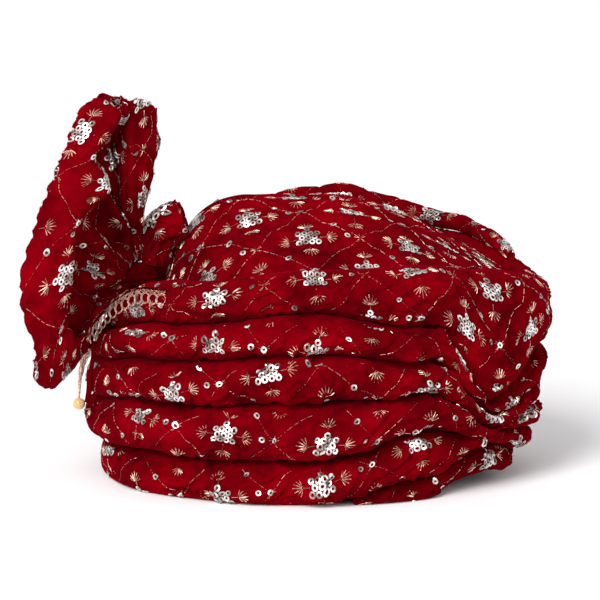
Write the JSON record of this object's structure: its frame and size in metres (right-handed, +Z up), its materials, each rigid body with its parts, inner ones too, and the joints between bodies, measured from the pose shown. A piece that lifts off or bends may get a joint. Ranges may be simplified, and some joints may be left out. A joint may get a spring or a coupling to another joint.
{
  "type": "wedding turban",
  "caption": "Pre-tied wedding turban: a hollow pleated crown wound with padded velvet rolls, a standing pleated fan in front, and a lace-edged band with a hanging bead.",
  "frame": {"origin": "middle of the footprint of the whole turban, on the surface it rests on", "axes": "+Z up through the crown, -X out through the fan at the front of the head, -Y towards the side of the head that shows the gather"},
  "size_m": [0.3124, 0.2306, 0.2315],
  "materials": {
    "velvet": "deep red velvet with embroidery",
    "dark_net": "dark scrolled net",
    "gold_thread": "pinkish gold thread",
    "pearl": "warm pearl"
  },
  "bodies": {
    "root": {"crown": "velvet", "back_tuck": "velvet", "roll_5": "velvet", "roll_4": "velvet", "roll_3": "velvet", "roll_2": "velvet", "roll_1": "velvet", "top_roll": "velvet", "knot": "velvet", "fan": "velvet", "rear_leaf": "velvet", "front_band": "dark_net", "lace_near": "gold_thread", "lace_far": "gold_thread", "lace_end": "gold_thread", "pearl": "pearl"}
  },
  "joints": []
}
